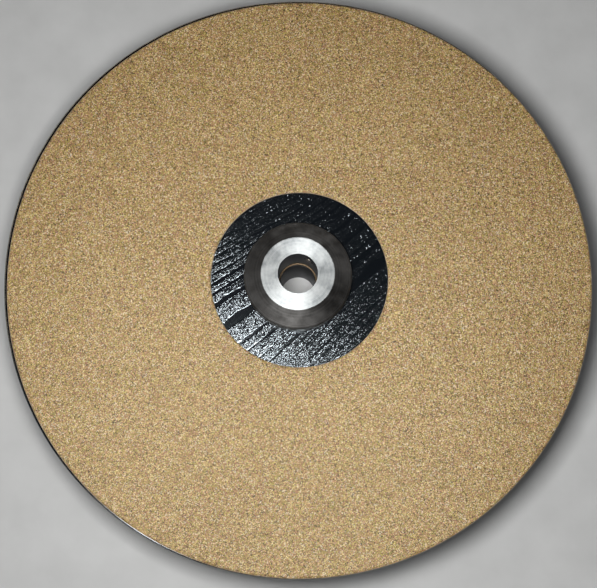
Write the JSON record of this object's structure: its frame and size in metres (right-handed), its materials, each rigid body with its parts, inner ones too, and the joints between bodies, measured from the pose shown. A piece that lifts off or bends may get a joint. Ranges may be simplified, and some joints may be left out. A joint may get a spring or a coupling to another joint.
{
  "type": "sanding and carving disc with hub",
  "caption": "Round black plywood board faced with an abrasive paper ring, held by a turned steel hub with a cone nose and a plain bore for a machine spindle.",
  "frame": {"origin": "on the spindle axis at the flat rear end of the hub, on which the disc stands", "axes": "+Z along the spindle axis towards the abrasive face and the cone nose; +Y is the top of the view and +X its right"},
  "size_m": [0.23, 0.23, 0.0467],
  "materials": {
    "abrasive_grit": "rough",
    "kraft_paper": "matte",
    "adhesive": "matte",
    "black_wood": "black satin paint",
    "turned_steel": "turned",
    "hard_steel": "ground",
    "blackened_steel": "black oxide",
    "zinc_steel": "zinc plated",
    "bronze": "satin"
  },
  "bodies": {
    "rotor": {"abrasive_grain": "abrasive_grit", "backing_paper": "kraft_paper", "adhesive_film": "adhesive", "hub_body": "turned_steel", "spindle_sleeve": "hard_steel", "bore_stop_ring": "bronze", "drive_pins": "hard_steel", "rear_flange": "zinc_steel", "flange_screws": "zinc_steel", "rear_face_veneer": "black_wood", "rear_crossband": "black_wood", "rear_core_ply": "black_wood", "middle_ply": "black_wood", "front_core_ply": "black_wood", "front_crossband": "black_wood", "front_face_veneer": "black_wood"},
    "lock_washer": {"tab_washer": "zinc_steel"},
    "nut": {"clamp_nut": "blackened_steel"},
    "grub_tip": {"grub_screw_tip": "bronze"},
    "grub_screw_body": {"grub_screw": "blackened_steel"}
  },
  "joints": [
    {"name": "washer_slide", "type": "slide", "parent": "rotor", "child": "lock_washer", "axis": [0, 0, -1], "range_m": [0, 0.0045]},
    {"name": "nut_turn", "type": "hinge", "parent": "lock_washer", "child": "nut", "pos_m": [0, 0, 0.0086], "axis": [0, 0, -1], "range_deg": [0, 1081]},
    {"name": "grub_tip_slide", "type": "slide", "parent": "rotor", "child": "grub_tip", "axis": [0.515, 0.8572, 0], "range_m": [-0.00025, 0.0028]},
    {"name": "grub_screw_turn", "type": "hinge", "parent": "grub_tip", "child": "grub_screw_body", "pos_m": [0.00721, 0.012, 0.0399], "axis": [0.515, 0.8572, 0], "range_deg": [-129, 1441]}
  ],
  "couplings": [
    {"joint": "nut_turn", "follows": "washer_slide", "rad_per_m": 4188.8},
    {"joint": "grub_screw_turn", "follows": "grub_tip_slide", "rad_per_m": 8976}
  ]
}
